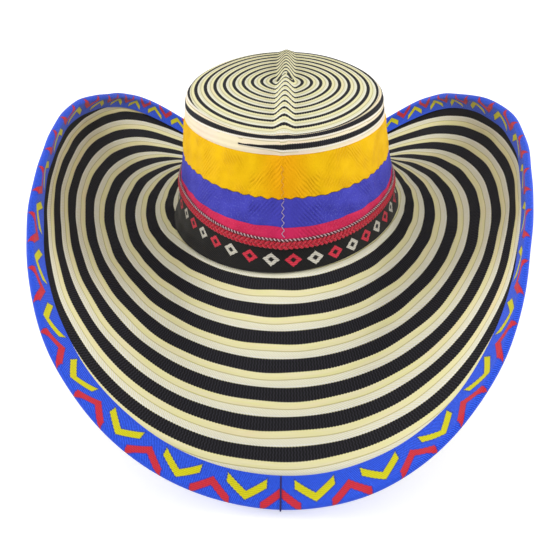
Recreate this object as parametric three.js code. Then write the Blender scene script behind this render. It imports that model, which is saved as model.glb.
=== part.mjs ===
// A wide-brimmed braided-palm sombrero. One long black and cream braid is sewn
// round and round into the brim and the crown tip. The crown wall carries three
// woven colour bands, a twisted cord, a plaited trim and a patterned hatband,
// and a sweatband is sewn inside it.
// Millimetres, +Z up. The front of the hat faces -Y and the wearer's left is +X.
// The hat stands on the lowest edges of its brim, at the front and the back.
import * as THREE from "three";

// ---------------------------------------------------------------- driving sizes
// Crown: an oval block that narrows towards its tip.
const crownHalfWidth = 89;        // outside of the hatband, across the hat
const crownHalfLength = 111.3;    // outside of the hatband, front to back
const crownSquareness = 0.0144;   // share by which the oval is fuller at its ends
const crownHeight = 91;           // mean brim break to the rim of the crown tip
const tipHalfWidth = 74;
const tipHalfLength = 86.6;
const tipForward = 2;             // the tip's middle lies this far to the front
const tipDome = 4;                // rise of the tip's middle above its rim
const tipEdgeDrop = 3;            // the tip's rim rounds down by this much
const tipThickness = 2;
const ridgeHeight = 5;            // pinched crease that runs front to back
const ridgeHalfWidth = 8;
const wallThickness = 2;          // straw wall under the bands

// Brim break: the line where the crown wall turns into the brim.
const breakSides = -3.35;         // rise at both sides, and drop at both ends
const breakTilt = 8.24;           // rise towards the wearer's left
const breakReach = 5;             // the sheet turns over within this distance each way

// Brim slope in degrees above level, at three stations out from the break.
const slopeReach = 150;           // distance from the break to the last station
const brimSlope = {
  front: [-28.3, -37.8, -21.8],
  back: [1.9, -59, 5.8],
  plusX: [-46.4, 37.9, 119.4],
  minusX: [-38.8, 39, 105],
  diagonal: [-30.8, 3.2, 93.4],
};

// Braid: each clockwise turn, seen from above, lies one pitch further out.
const braidPitch = 18.6;          // a black half and a cream half
const braidThickness = 1.6;
const braidGap = 0.3;             // between neighbouring turns
const braidStart = { mean: 1.211, front: -1.216, minusX: 0.062, ends: 0.296, diagonal: -0.198 };
const brimWidth = { mean: 140.2, front: -10.8, minusX: 5.1, ends: 0.9, diagonal: -1.34,
  front3: 4.34, minusX3: -2.87 };  // break to the binding's inner edge
const narrowestStrip = 2;         // a strip cut narrower than this is left out

// Edge binding: a woven ribbon folded over the brim edge.
const bindingWidth = 19.6;
const bindingThickness = 0.8;
const bindingClearance = 1.0;     // between the ribbon and the braid in it
const bindingJoinWidth = 3;       // whipped join at the front

// Bands on the crown wall, from the brim up.
const hatbandLift = { mean: 7, sides: 1 };   // lower edge above the mean break
const hatbandWidth = 13;
const hatbandThickness = 1.2;
const trimWidth = 5;
const trimThickness = 2.4;
const cordDiameter = 2;
const redTop = { mean: 31.8, sides: -1.8 };
const blueTop = { mean: 50.5, sides: -1.8 };
const yellowTop = 77;
const bandThickness = 0.9;
const seamStitchWidth = 2.4;      // zigzag over the front join of the bands
const seamStitchThickness = 0.6;

// Sweatband inside the crown.
const sweatbandWidth = 32;
const sweatbandThickness = 1;
const sweatbandLift = 9;          // its level lower edge above the mean break
const threadThickness = 0.6;

// Clearance between pieces that are sewn or laid against each other.
const seat = 0.3;

// Facets: round the hat, along a brim meridian, and across each curved sheet.
const segments = 56;
const meridianStep = 1;
const stripFacet = 9.4;
const bindingFacet = 6.6;
const wallParts = 4;
const tipRings = 6;

// ---------------------------------------------------------------- shape of the hat
const radians = THREE.MathUtils.degToRad;

// The angle clockwise from the front, seen from above, of facet number i.
const clockwise = (i) => (2 * Math.PI * i) / segments;
const azimuth = (turn) => -Math.PI / 2 - turn;

function oval(phi, halfWidth, halfLength) {
  const fuller = 1 + crownSquareness * Math.cos(4 * phi);
  return fuller / Math.hypot(Math.cos(phi) / halfWidth, Math.sin(phi) / halfLength);
}

const baseRadius = (phi) => oval(phi, crownHalfWidth, crownHalfLength);

function breakHeight(phi) {
  return breakSides * Math.cos(2 * phi) + breakTilt * Math.cos(phi);
}

// A value round the hat with a mean, a front-to-back part and parts that repeat.
function roundTheHat(value, turn) {
  return value.mean + (value.front ?? 0) * Math.cos(turn) + (value.minusX ?? 0) * Math.sin(turn)
    + (value.ends ?? 0) * Math.cos(2 * turn) + (value.diagonal ?? 0) * Math.sin(2 * turn)
    + (value.front3 ?? 0) * Math.cos(3 * turn) + (value.minusX3 ?? 0) * Math.sin(3 * turn)
    - (value.sides ?? 0) * Math.cos(2 * turn);
}

// Brim slope at one station: a smooth blend of the five named directions.
function slopeAtStation(phi, n) {
  const { front, back, plusX, minusX, diagonal } = brimSlope;
  const cardinal = (front[n] + back[n] + plusX[n] + minusX[n]) / 4;
  const mean = (cardinal + diagonal[n]) / 2;
  const lobes = (plusX[n] + minusX[n] - front[n] - back[n]) / 4;
  return radians(mean + ((back[n] - front[n]) / 2) * Math.sin(phi)
    + ((plusX[n] - minusX[n]) / 2) * Math.cos(phi) + lobes * Math.cos(2 * phi)
    + (cardinal - mean) * Math.cos(4 * phi));
}

// Slope at a distance s from the break: the parabola through the three stations.
function brimSlopeAt(phi, s) {
  const [a, b, c] = [0, 1, 2].map((n) => slopeAtStation(phi, n));
  const t = s / slopeReach;
  return a * (1 - t) * (1 - 2 * t) + b * 4 * t * (1 - t) + c * t * (2 * t - 1);
}

// One meridian of the brim, followed from the break out by small steps. Above the
// break, where s is negative, the braid climbs the crown wall.
class Meridian {
  constructor(phi) {
    this.phi = phi;
    this.rows = [{ r: baseRadius(phi), z: breakHeight(phi) }];
    for (let s = 0; s < brimWidth.mean * 1.4; s += meridianStep) {
      const last = this.rows[this.rows.length - 1];
      const slope = brimSlopeAt(phi, s + meridianStep / 2);
      this.rows.push({
        r: last.r + meridianStep * Math.cos(slope),
        z: last.z + meridianStep * Math.sin(slope),
      });
    }
  }

  // The point at distance s and height n above the sheet's middle.
  at(s, n) {
    const lean = wallLean(this.phi);
    const i = Math.max(Math.floor(s / meridianStep), 0);
    const part = Math.max(s / meridianStep - i, 0);
    const climb = Math.min(s, 0);
    const turned = THREE.MathUtils.smoothstep(s, -breakReach, breakReach);
    const slope = THREE.MathUtils.lerp(lean, brimSlopeAt(this.phi, Math.max(s, 0)), turned);
    const r = THREE.MathUtils.lerp(this.rows[i].r, this.rows[i + 1].r, part)
      + climb * Math.cos(lean) - n * Math.sin(slope);
    const z = THREE.MathUtils.lerp(this.rows[i].z, this.rows[i + 1].z, part)
      + climb * Math.sin(lean) + n * Math.cos(slope);
    return new THREE.Vector3(r * Math.cos(this.phi), r * Math.sin(this.phi), z);
  }
}

// Slope of the wall, going down and out.
function wallLean(phi) {
  const run = baseRadius(phi) - oval(phi, tipHalfWidth, tipHalfLength);
  return -Math.atan2(crownHeight - breakHeight(phi), run);
}

// A point on the crown wall at height z, a distance inset behind the outer surface.
function wallPoint(phi, z, inset) {
  const share = (z - breakHeight(phi)) / (crownHeight - breakHeight(phi));
  const r = THREE.MathUtils.lerp(baseRadius(phi), oval(phi, tipHalfWidth, tipHalfLength), share);
  const forward = tipForward * Math.max(share, 0);
  return new THREE.Vector3((r - inset) * Math.cos(phi), (r - inset) * Math.sin(phi) - forward, z);
}

// ---------------------------------------------------------------- closed bodies
// Joins rings of equal length into one closed body: a loop, or a run with two caps.
function ringBody(rings, isLoop) {
  const size = rings[0].length;
  const positions = rings.flat().flatMap((point) => point.toArray());
  const faces = [];
  const joins = isLoop ? rings.length : rings.length - 1;
  for (let i = 0; i < joins; i += 1) {
    const next = (i + 1) % rings.length;
    for (let k = 0; k < size; k += 1) {
      const beside = (k + 1) % size;
      faces.push([i * size + k, next * size + k, next * size + beside]);
      faces.push([i * size + k, next * size + beside, i * size + beside]);
    }
  }
  if (!isLoop) {
    const last = (rings.length - 1) * size;
    for (let k = 1; k < size - 1; k += 1) {
      faces.push([0, k, k + 1]);
      faces.push([last, last + k + 1, last + k]);
    }
  }
  return facingOut(positions, faces);
}

// Turns every face round when the enclosed volume comes out negative.
function facingOut(positions, faces) {
  const corner = (i) => new THREE.Vector3().fromArray(positions, 3 * i);
  const volume = faces.reduce((sum, [a, b, c]) => sum + corner(a).dot(corner(b).cross(corner(c))), 0);
  const geometry = new THREE.BufferGeometry();
  geometry.setAttribute("position", new THREE.Float32BufferAttribute(positions, 3));
  geometry.setIndex(faces.flatMap(([a, b, c]) => (volume > 0 ? [a, b, c] : [a, c, b])));
  return geometry;
}

const facets = Array.from({ length: segments }, (_, i) => i);
const stripParts = Math.ceil(braidPitch / stripFacet);
const bindingParts = Math.ceil(bindingWidth / bindingFacet);
const meridians = facets.map((i) => new Meridian(azimuth(clockwise(i))));

// A flat band that goes all the way round the wall, between two heights.
function wallBand(low, high, inset, thickness, parts = 1) {
  return ringBody(facets.map((i) => {
    const turn = clockwise(i);
    const ring = [];
    for (const [depth, from, to] of [[inset, low, high], [inset + thickness, high, low]]) {
      for (let k = 0; k <= parts; k += 1) {
        const height = THREE.MathUtils.lerp(from(turn), to(turn), k / parts);
        ring.push(wallPoint(azimuth(turn), height, depth));
      }
    }
    return ring;
  }), true);
}

// A round or flattened strand that goes all the way round the wall.
function wallStrand(height, inset, width, thickness, sides) {
  return ringBody(facets.map((i) => {
    const turn = clockwise(i);
    const ring = [];
    for (let k = 0; k < sides; k += 1) {
      const a = (2 * Math.PI * k) / sides;
      const z = height(turn) + (width / 2) * Math.sin(a);
      ring.push(wallPoint(azimuth(turn), z, inset - (thickness / 2) * Math.cos(a)));
    }
    return ring;
  }), true);
}

// ---------------------------------------------------------------- pieces
const sombrero = new THREE.Group();

function addPiece(name, geometry, color, roughness) {
  const material = new THREE.MeshStandardMaterial({ color, roughness, metalness: 0 });
  const mesh = new THREE.Mesh(geometry, material);
  mesh.name = name;
  sombrero.add(mesh);
  return mesh;
}

const hatbandBottom = (turn) => roundTheHat(hatbandLift, turn);
const hatbandTop = (turn) => hatbandBottom(turn) + hatbandWidth;
const trimTop = (turn) => hatbandTop(turn) + seat + trimWidth;
const cordTop = (turn) => trimTop(turn) + seat + cordDiameter;
const redUpper = (turn) => roundTheHat(redTop, turn);
const blueUpper = (turn) => roundTheHat(blueTop, turn);

// Insets behind the outer surface: bands first, then the straw wall and sweatband.
const wallInset = hatbandThickness + seat;
const sweatbandInset = wallInset + wallThickness + seat;

// Brim braid. The strip is followed turn by turn and cut off where it would run
// into the hatband or past the folded edge of the binding.
const edgeDistance = (turn) => roundTheHat(brimWidth, turn) + bindingWidth;
const stripEnd = (turn) => edgeDistance(turn) - bindingThickness - bindingClearance;

function stripTop(turn) {
  const phi = azimuth(turn);
  const climb = (hatbandBottom(turn) - seat - breakHeight(phi)) / Math.sin(-wallLean(phi));
  return -Math.max(climb, 0);
}

function stripEdges(i) {
  const turn = clockwise(i);
  const start = braidPitch * (turn / (2 * Math.PI) + roundTheHat(braidStart, turn));
  const inner = Math.max(start + braidGap / 2, stripTop(turn));
  const outer = Math.min(start + braidPitch - braidGap / 2, stripEnd(turn));
  return { inner, outer, whole: outer - inner >= narrowestStrip };
}

function meridianOf(i) {
  return meridians[((i % segments) + segments) % segments];
}

// A plate that follows the sheet from one distance to another, at one height.
function alongSheet(i, from, to, n, parts) {
  const points = [];
  for (let k = 0; k <= parts; k += 1) {
    points.push(meridianOf(i).at(THREE.MathUtils.lerp(from, to, k / parts), n));
  }
  return points;
}

function stripSection(i) {
  const { inner, outer } = stripEdges(i);
  const half = braidThickness / 2;
  return [...alongSheet(i, inner, outer, -half, stripParts),
    ...alongSheet(i, outer, inner, half, stripParts)];
}

// Runs of facets where the strip exists, each at most one turn long.
function stripRuns() {
  const mostTurns = Math.ceil(edgeDistance(Math.PI) / braidPitch) + 2;
  const runs = [];
  let run = [];
  for (let i = -mostTurns * segments; i <= mostTurns * segments; i += 1) {
    if (stripEdges(i).whole) {
      run.push(i);
    }
    const ends = !stripEdges(i).whole || i % segments === 0;
    if (ends && run.length > 0) {
      if (run.length > 2) {
        runs.push(run);
      }
      run = i % segments === 0 && stripEdges(i).whole ? [i] : [];
    }
  }
  return runs;
}

// Neighbouring turns share a facet line, so each run is held back there by a gap.
function stripBody(run) {
  const rings = run.map(stripSection);
  const shorten = (ring, towards) => ring.map((point, k) => {
    const along = towards[k].clone().sub(point);
    return point.clone().addScaledVector(along.normalize(), braidGap / 2);
  });
  const first = shorten(rings[0], rings[1]);
  const last = shorten(rings[rings.length - 1], rings[rings.length - 2]);
  return ringBody([first, ...rings.slice(1, -1), last], false);
}

stripRuns().forEach((run, n) => {
  addPiece(`brim_braid_turn_${n + 1}`, stripBody(run), n % 2 ? "#222028" : "#f0ebb4", 0.8);
});

// Edge binding: a ribbon folded over the outermost braid. Its two ends stop at the
// front join. The section is a U: out along the top, round the edge, and back.
function bindingSection(i, fromFront) {
  const turn = clockwise(i);
  const inner = roundTheHat(brimWidth, turn);
  const outer = edgeDistance(turn);
  const half = braidThickness / 2 + bindingClearance;
  const skin = half + bindingThickness;
  const fold = outer - bindingThickness;
  const shift = new THREE.Vector3(fromFront, 0, 0);
  return [
    ...alongSheet(i, inner, outer, skin, bindingParts),
    ...alongSheet(i, outer, inner, -skin, bindingParts),
    ...alongSheet(i, inner, fold, -half, bindingParts),
    ...alongSheet(i, fold, inner, half, bindingParts),
  ].map((point) => point.add(shift));
}

// A run whose section is a U: each cap is a row of plates between its two sides.
function foldedBody(rings) {
  const size = rings[0].length;
  const last = (rings.length - 1) * size;
  const faces = [];
  const addPlate = (a, b, c, d) => faces.push([a, b, c], [a, c, d]);
  for (let i = 0; i < rings.length - 1; i += 1) {
    for (let k = 0; k < size; k += 1) {
      const beside = (k + 1) % size;
      addPlate(i * size + k, (i + 1) * size + k, (i + 1) * size + beside, i * size + beside);
    }
  }
  for (let k = 0; k < size / 2 - 1; k += 1) {
    const [a, b, c, d] = [k, k + 1, size - 2 - k, size - 1 - k];
    addPlate(a, b, c, d);
    addPlate(last + d, last + c, last + b, last + a);
  }
  return facingOut(rings.flat().flatMap((point) => point.toArray()), faces);
}

const joinHalf = bindingJoinWidth / 2;
const bindingRings = facets.slice(1).map((i) => bindingSection(i, 0));
bindingRings.unshift(bindingSection(0, -joinHalf - seat));
bindingRings.push(bindingSection(0, joinHalf + seat));
addPiece("edge_binding", foldedBody(bindingRings), "#2b5be6", 0.75);

// The whipped join closes the gap between the ribbon's ends.
const joinRings = [bindingSection(0, -joinHalf), bindingSection(0, joinHalf)];
addPiece("binding_join_whipping", foldedBody(joinRings), "#3a2530", 0.8);

// Crown wall, from just under the hatband's lower edge to the rim of the tip.
const wallFoot = (turn) => breakHeight(azimuth(turn)) - braidThickness / 2;
const wallHead = () => crownHeight - tipEdgeDrop - tipThickness - seat;
addPiece("crown_wall", wallBand(wallFoot, wallHead, wallInset, wallThickness, wallParts), "#edebc4", 0.85);

// Crown tip: a shallow dome with a pinched ridge from front to back. It overhangs
// the wall and the shoulder braid meets it.
function tipHeight(x, share) {
  const dome = tipDome * (1 - share ** 2) - tipEdgeDrop * share ** 8;
  const across = Math.max(0, 1 - Math.abs(x) / ridgeHalfWidth);
  const ridge = ridgeHeight * across ** 2 * (3 - 2 * across) * (1 - share ** 4);
  return crownHeight + dome + ridge;
}

function tipBody() {
  const positions = [];
  const faces = [];
  const spokes = segments / 2;
  for (const drop of [0, tipThickness]) {
    positions.push(0, -tipForward, tipHeight(0, 0) - drop);
    for (let ring = 1; ring <= tipRings; ring += 1) {
      const share = ring / tipRings;
      for (let i = 0; i < spokes; i += 1) {
        const phi = azimuth((2 * Math.PI * i) / spokes);
        const r = oval(phi, tipHalfWidth, tipHalfLength) * share;
        const x = r * Math.cos(phi);
        positions.push(x, r * Math.sin(phi) - tipForward, tipHeight(x, share) - drop);
      }
    }
  }
  const layer = 1 + tipRings * spokes;
  const at = (side, ring, i) => side * layer + (ring === 0 ? 0 : 1 + (ring - 1) * spokes + (i % spokes));
  for (let i = 0; i < spokes; i += 1) {
    faces.push([at(0, 0, 0), at(0, 1, i), at(0, 1, i + 1)]);
    faces.push([at(1, 0, 0), at(1, 1, i + 1), at(1, 1, i)]);
    for (let ring = 1; ring < tipRings; ring += 1) {
      faces.push([at(0, ring, i), at(0, ring + 1, i), at(0, ring + 1, i + 1)]);
      faces.push([at(0, ring, i), at(0, ring + 1, i + 1), at(0, ring, i + 1)]);
      faces.push([at(1, ring, i), at(1, ring + 1, i + 1), at(1, ring + 1, i)]);
      faces.push([at(1, ring, i), at(1, ring, i + 1), at(1, ring + 1, i + 1)]);
    }
    faces.push([at(0, tipRings, i), at(1, tipRings, i), at(1, tipRings, i + 1)]);
    faces.push([at(0, tipRings, i), at(1, tipRings, i + 1), at(0, tipRings, i + 1)]);
  }
  return facingOut(positions, faces);
}

addPiece("crown_tip_braid", tipBody(), "#edebc4", 0.85);

// Shoulder braid: the last turn of the tip's braid, laid on the wall above the bands.
const shoulderFoot = () => yellowTop + seat;
const shoulderHead = () => crownHeight - tipEdgeDrop - tipThickness - seat;
addPiece("crown_shoulder_braid", wallBand(shoulderFoot, shoulderHead, seat, bandThickness), "#f0eee0", 0.85);

// Three woven colour bands, edge to edge on the wall.
const above = (height) => (turn) => height(turn) + seat / 2;
const below = (height) => (turn) => height(turn) - seat / 2;
const yellowUpper = () => yellowTop;
const redLower = (turn) => trimTop(turn) + seat;
addPiece("yellow_band", wallBand(above(blueUpper), yellowUpper, seat, bandThickness), "#f5c400", 0.7);
addPiece("blue_band", wallBand(above(redUpper), below(blueUpper), seat, bandThickness), "#4444c4", 0.8);
addPiece("red_band", wallBand(redLower, below(redUpper), seat, bandThickness), "#d92b5a", 0.8);

// Cord and plaited trim lie on the bands, above the hatband.
const cordMiddle = (turn) => trimTop(turn) + seat + cordDiameter / 2;
const cordInset = -cordDiameter / 2;
addPiece("twisted_cord", wallStrand(cordMiddle, cordInset, cordDiameter, cordDiameter, 5), "#b98a90", 0.7);
const trimMiddle = (turn) => trimTop(turn) - trimWidth / 2;
const trimInset = wallInset - seat - trimThickness / 2;
addPiece("red_plaited_trim", wallStrand(trimMiddle, trimInset, trimWidth, trimThickness, 6), "#e01f35", 0.75);
addPiece("hatband", wallBand(hatbandBottom, hatbandTop, 0, hatbandThickness), "#15130f", 0.8);

// Zigzag stitching down the front join of the colour bands, one run on each colour.
function seamStitches(low, high) {
  const phi = azimuth(0);
  const half = seamStitchWidth / 2;
  const corners = (z) => [[-half, 0], [half, 0], [half, seamStitchThickness], [-half, seamStitchThickness]]
    .map(([x, out]) => wallPoint(phi, z, -out).add(new THREE.Vector3(x, 0, 0)));
  return ringBody([corners(low), corners(high)], false);
}

const seamFoot = cordTop(0) + seat;
addPiece("front_seam_stitching", seamStitches(seamFoot, yellowTop), "#c9b7c6", 0.8);

// Sweatband: a ribbon sewn inside the wall, with a level lower edge.
const sweatbandLow = () => sweatbandLift;
const sweatbandHigh = () => sweatbandLift + sweatbandWidth;
addPiece("sweatband", wallBand(sweatbandLow, sweatbandHigh, sweatbandInset, sweatbandThickness), "#2a2622", 0.6);
const threadHeight = () => sweatbandLift + sweatbandWidth - 2 * threadThickness;
const threadInset = sweatbandInset + sweatbandThickness + seat + threadThickness / 2;
addPiece("sweatband_stitching",
  wallStrand(threadHeight, threadInset, threadThickness, threadThickness, 4), "#e8e2d0", 0.7);

// The lowest point of the brim is the origin's level, under the middle of the hat.
sombrero.updateMatrixWorld(true);
const bounds = new THREE.Box3().setFromObject(sombrero, true);
const middle = bounds.getCenter(new THREE.Vector3());
sombrero.position.set(-middle.x, -middle.y, -bounds.min.z);

export default sombrero;
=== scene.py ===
"""Looks of a braided-palm sombrero: sewn braid, woven bands, cord, plait, hatband and ribbon binding."""
import math

import bpy
import numpy as np
from mathutils import Matrix, Vector


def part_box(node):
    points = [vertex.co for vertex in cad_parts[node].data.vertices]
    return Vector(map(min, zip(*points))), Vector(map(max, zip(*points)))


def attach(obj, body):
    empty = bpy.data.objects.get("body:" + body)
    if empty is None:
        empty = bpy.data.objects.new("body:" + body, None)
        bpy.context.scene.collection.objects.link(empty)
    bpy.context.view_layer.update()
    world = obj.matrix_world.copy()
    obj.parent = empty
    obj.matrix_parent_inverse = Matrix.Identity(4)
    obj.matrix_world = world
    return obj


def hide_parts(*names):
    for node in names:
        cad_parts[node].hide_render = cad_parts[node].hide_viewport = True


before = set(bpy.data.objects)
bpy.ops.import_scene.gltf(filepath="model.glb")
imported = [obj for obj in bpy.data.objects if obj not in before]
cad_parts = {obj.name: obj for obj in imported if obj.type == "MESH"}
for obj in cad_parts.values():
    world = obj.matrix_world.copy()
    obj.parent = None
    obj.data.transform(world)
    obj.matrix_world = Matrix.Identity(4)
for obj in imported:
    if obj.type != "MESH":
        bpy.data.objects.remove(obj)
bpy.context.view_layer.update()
MM = 0.001
TAU = 2 * math.pi

# ------------------------------------------------------------- sizes, in millimetres and degrees
CROWN_HALF = (89, 111.3)          # oval of the brim break, across and along
TIP_HALF = (74, 86.6)             # oval of the crown tip's rim
SQUARENESS = 0.0144               # how much fuller than an ellipse both ovals are
CROWN_HEIGHT = 91                 # of the tip's rim over the mean height of the break
TIP_FORWARD = 2                   # the tip sits a little toward the front
TIP_ASIDE = 1.0                   # and a little toward -x
TIP_DOME = 4
TIP_EDGE_DROP = 3
RIDGE_HEIGHT = 6.5                # pinched ridge that runs from front to back over the tip
RIDGE_HALF_WIDTH = 8
BREAK_SIDES = -3.35               # how the break falls at both sides
BREAK_TILT = 8.24                 # and how it leans up toward +x
BREAK_REACH = 5                   # the brim and wall blend over this much to each side
FARTHEST = 200                    # the brim's slope is summed this far out from the break
SLOPE_REACH = 150
# The brim's slope above level at the break, half way and at SLOPE_REACH, in five directions.
SLOPES = {
    "front": (-28.3, -37.8, -21.8),
    "back": (1.9, -59, 5.8),
    "plus_x": (-46.4, 37.9, 119.4),
    "minus_x": (-38.8, 39, 105),
    "diagonal": (-30.8, 3.2, 93.4),
}
PITCH = 18.6                      # from one turn of the braid to the next
BLACK_SHARE = 0.491               # of the braid's width that is dyed
SEAM_SHARE = 0.49                 # of the cream part, where its two rolled strips meet
BRAID_THICKNESS = 1.6
STRIP_GAP = 0.1
MOST_TURNS = 12                   # more turns than the brim has, to each side of the first
# Where the braid's spiral starts, in pitches out from the break, and the brim's width as far as
# the binding: a mean, and parts that repeat once, twice and three times round the hat.
BRAID_START = {"mean": 1.211, "front": -1.216, "minus_x": 0.062, "ends": 0.296, "diagonal": -0.198}
BRIM_WIDTH = {"mean": 140.2, "front": -10.8, "minus_x": 5.1, "ends": 0.9, "diagonal": -1.34,
              "front3": 4.34, "minus_x3": -2.87}
BINDING_WIDTH = 19.6
BINDING_THICKNESS = 0.8
BINDING_CLEARANCE = 1.0
HATBAND_LOW = {"mean": 7, "ends": -1}
HATBAND_WIDTH = 13
TRIM_WIDTH = 5
CORD_DIAMETER = 2
RED_TOP = {"mean": 31.8, "ends": 1.8}
BLUE_TOP = {"mean": 50.5, "ends": 1.8}
YELLOW_TOP = 77
SWEATBAND = (9, 41)               # level edges above the mean break
WALL_CREASE = 0.9                 # how far the upright crease at the front stands out
CREASE_REACH = 0.035              # radians either side of the front
DRAWN_IN = 1.5                    # the bands pull both sides in
SEAT = 0.3                        # clearance between one band and the next
SHARP_ANGLE = 70                  # a crease over this stays sharp
# Where wear has bent the even brim: degrees round from the front, clockwise from above, with the
# width added in millimetres and the upward curl added at the edge in degrees.
WEAR_REACH = 24
WEAR = {
    "back corner, +x": (-150, -1, -1.5),
    "behind the +x side": (-115, -0.5, 5),
    "+x side, pressed down": (-82, -1.5, -8.5),
    "front corner, +x": (-50, -2, 2.5),
    "lift beside the join, +x": (-18, 1.5, 5.5),
    "beside the join, -x": (18, -1, 0.5),
    "front corner, -x, pressed down": (50, -1.5, -6.5),
    "-x side": (82, 0, 4),
    "behind the -x side": (115, 0, 3.5),
    "back corner, -x": (150, 1, -5.5),
}
FACETS = 56                       # facets round the CAD model, which name its runs of braid


# ------------------------------------------------------------- shape of the hat
def azimuth(turn):
    """Angle about +Z of a turn measured clockwise from the front, seen from above."""
    return -math.pi / 2 - turn


def round_hat(value, turn):
    """A value with a mean and parts that repeat once, twice or three times round the hat."""
    get = value.get
    return (get("mean", 0) + get("front", 0) * np.cos(turn) + get("minus_x", 0) * np.sin(turn)
            + get("ends", 0) * np.cos(2 * turn) + get("diagonal", 0) * np.sin(2 * turn)
            + get("front3", 0) * np.cos(3 * turn) + get("minus_x3", 0) * np.sin(3 * turn))


def oval(phi, half):
    """Radius of an oval with these half sizes, a little squarer than an ellipse."""
    fuller = 1 + SQUARENESS * np.cos(4 * phi)
    return fuller / np.hypot(np.cos(phi) / half[0], np.sin(phi) / half[1])


def break_height(phi):
    """Height of the line where crown wall and brim meet."""
    return BREAK_SIDES * np.cos(2 * phi) + BREAK_TILT * np.cos(phi)


def station_slope(phi, n):
    """Slope of the brim all round at the break, half way or the far end: n is 0, 1 or 2."""
    front, back, plus, minus, diagonal = (SLOPES[k][n] for k in SLOPES)
    cardinal = (front + back + plus + minus) / 4
    mean = (cardinal + diagonal) / 2
    lobes = (plus + minus - front - back) / 4
    return np.radians(mean + (back - front) / 2 * np.sin(phi) + (plus - minus) / 2 * np.cos(phi)
                      + lobes * np.cos(2 * phi) + (cardinal - mean) * np.cos(4 * phi))


def lobe(turn, centre, half):
    """A soft bump round the hat, from 0 to 1, at an angle in degrees."""
    off = (turn - math.radians(centre) + math.pi) % TAU - math.pi
    return np.exp(-(off / math.radians(half)) ** 2)


def worn_width(turn):
    return sum(width * lobe(turn, place, WEAR_REACH) for place, width, _ in WEAR.values())


def worn_curl(turn):
    return sum(curl * lobe(turn, place, WEAR_REACH) for place, _, curl in WEAR.values())


def brim_width(turn):
    return round_hat(BRIM_WIDTH, turn) + worn_width(turn)


def brim_slope(phi, s):
    """Slope at a distance out from the break: a parabola through the three stations."""
    a, b, c = (station_slope(phi, n) for n in range(3))
    t = s / SLOPE_REACH
    c = c + np.radians(worn_curl(-math.pi / 2 - phi))
    return a * (1 - t) * (1 - 2 * t) + b * 4 * t * (1 - t) + c * t * (2 * t - 1)


def wall_lean(phi):
    run = oval(phi, CROWN_HALF) - oval(phi, TIP_HALF)
    return -np.arctan2(CROWN_HEIGHT - break_height(phi), run)


def sheet_points(turn, s, n):
    """Points of the brim sheet: for each turn, a row of distances s out from the break and of
    heights n above the sheet. Below zero, s climbs the crown wall."""
    phi = azimuth(turn)[:, None]
    steps = np.arange(FARTHEST + 1.0)
    slopes = brim_slope(phi, steps[None, :-1] + 0.5)
    start = np.zeros_like(phi)
    run = np.hstack([start, np.cumsum(np.cos(slopes), axis=1)]) + oval(phi, CROWN_HALF)
    rise = np.hstack([start, np.cumsum(np.sin(slopes), axis=1)]) + break_height(phi)
    out = np.clip(s, 0, FARTHEST - 1.0)
    i = out.astype(int)
    part = out - i
    lean = wall_lean(phi)
    climb = np.minimum(s, 0)
    mix = np.clip((s + BREAK_REACH) / (2 * BREAK_REACH), 0, 1)
    mix = mix * mix * (3 - 2 * mix)
    slope = lean * (1 - mix) + brim_slope(phi, out) * mix
    pick = np.take_along_axis
    flat_r, flat_z = (pick(line, i, 1) * (1 - part) + pick(line, i + 1, 1) * part for line in (run, rise))
    r = flat_r + climb * np.cos(lean) - n * np.sin(slope)
    z = flat_z + climb * np.sin(lean) + n * np.cos(slope)
    return np.stack([r * np.cos(phi), r * np.sin(phi), z], -1)


def wall_points(turn, z, inset):
    """Points on the crown wall; the front carries a soft upright crease."""
    phi = azimuth(turn)
    share = (z - break_height(phi)) / (CROWN_HEIGHT - break_height(phi))
    base, tip = oval(phi, CROWN_HALF), oval(phi, TIP_HALF)
    wrapped = (turn + math.pi) % TAU - math.pi
    crease = WALL_CREASE * np.exp(-(wrapped / CREASE_REACH) ** 2)
    drawn_in = DRAWN_IN * np.sin(math.pi / 2 * np.clip(share, 0, 1)) * np.cos(phi) ** 2
    r = base + (tip - base) * share - inset + crease - drawn_in
    forward = TIP_FORWARD * np.maximum(share, 0)
    return np.stack([r * np.cos(phi) - TIP_ASIDE * share, r * np.sin(phi) - forward, z + 0 * r], -1)


# The frame's own place for the middle of the crown and the mean height of the brim break.
tip_low, tip_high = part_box("crown_tip_braid")
sweat_low, sweat_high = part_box("sweatband")
ORIGIN = np.array([
    (sweat_low.x + sweat_high.x) / 2 / MM,
    (tip_low.y + tip_high.y) / 2 / MM + TIP_FORWARD,
    sweat_low.z / MM - SWEATBAND[0],
])


# ------------------------------------------------------------- meshes
def make_piece(name, points, faces, uv, material, slot, *nodes):
    """A mesh from points in millimetres, with one uv pair for each face corner."""
    mesh = bpy.data.meshes.new(name)
    mesh.from_pydata(((points + ORIGIN) * MM).tolist(), [], faces.tolist())
    if uv is not None:
        layer = mesh.uv_layers.new(name="across_and_along")
        layer.data.foreach_set("uv", np.asarray(uv, np.float32).ravel())
    mesh.polygons.foreach_set("use_smooth", np.ones(len(mesh.polygons), bool))
    mesh.materials.append(material)
    mesh.validate()
    mesh.set_sharp_from_angle(angle=math.radians(SHARP_ANGLE))
    piece = bpy.data.objects.new(name, mesh)
    bpy.context.scene.collection.objects.link(piece)
    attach(piece, "root")
    if nodes:
        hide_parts(*nodes)
    return piece


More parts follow.
